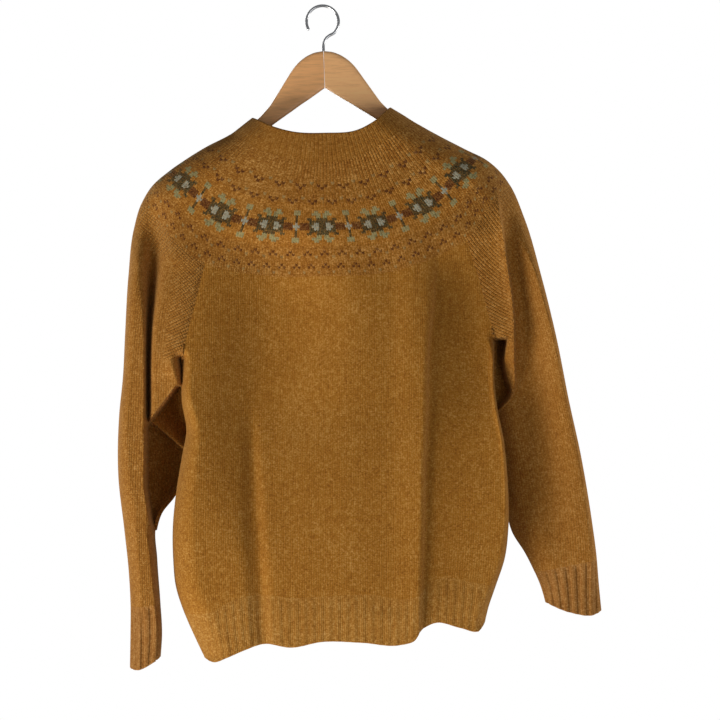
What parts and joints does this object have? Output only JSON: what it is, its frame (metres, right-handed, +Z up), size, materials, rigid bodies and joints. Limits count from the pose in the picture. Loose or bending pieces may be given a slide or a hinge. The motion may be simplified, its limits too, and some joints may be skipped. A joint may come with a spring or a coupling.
{
  "type": "fair isle yoke pullover on a wooden hanger",
  "caption": "Rust-gold wool pullover with a fair isle round yoke, ribbed neck, hem and cuffs, hanging open on a plain wooden hanger with a wire hook.",
  "frame": {"origin": "inside top of the hanger's hook, where the rail holds it", "axes": "+Z up, along the hanging length; -Y towards the pullover's back and +Y towards its front, the shallow way through the cloth; +X to the right seen from the back"},
  "size_m": [0.6066, 0.122, 0.8294],
  "materials": {
    "collar_knit": "fine brushed wool rib",
    "yoke_knit": "stranded fair isle wool knit in orange, sage, dark green, grey and rust",
    "body_knit": "heathered wool stocking stitch with a short nap",
    "sleeve_knit": "heathered wool stocking stitch with a short nap, ribbed cuffs",
    "rib_knit": "two-by-two wool rib",
    "beech": "clear satin varnish",
    "steel_wire": "plated wire"
  },
  "bodies": {
    "root": {"neckband": "collar_knit", "yoke": "yoke_knit", "back_panel": "body_knit", "front_panel": "body_knit", "hem_rib": "rib_knit", "sleeve_left": "sleeve_knit", "sleeve_right": "sleeve_knit", "cuff_left": "sleeve_knit", "cuff_right": "sleeve_knit", "hanger_left": "beech", "hanger_right": "beech", "hook": "steel_wire"}
  },
  "joints": []
}
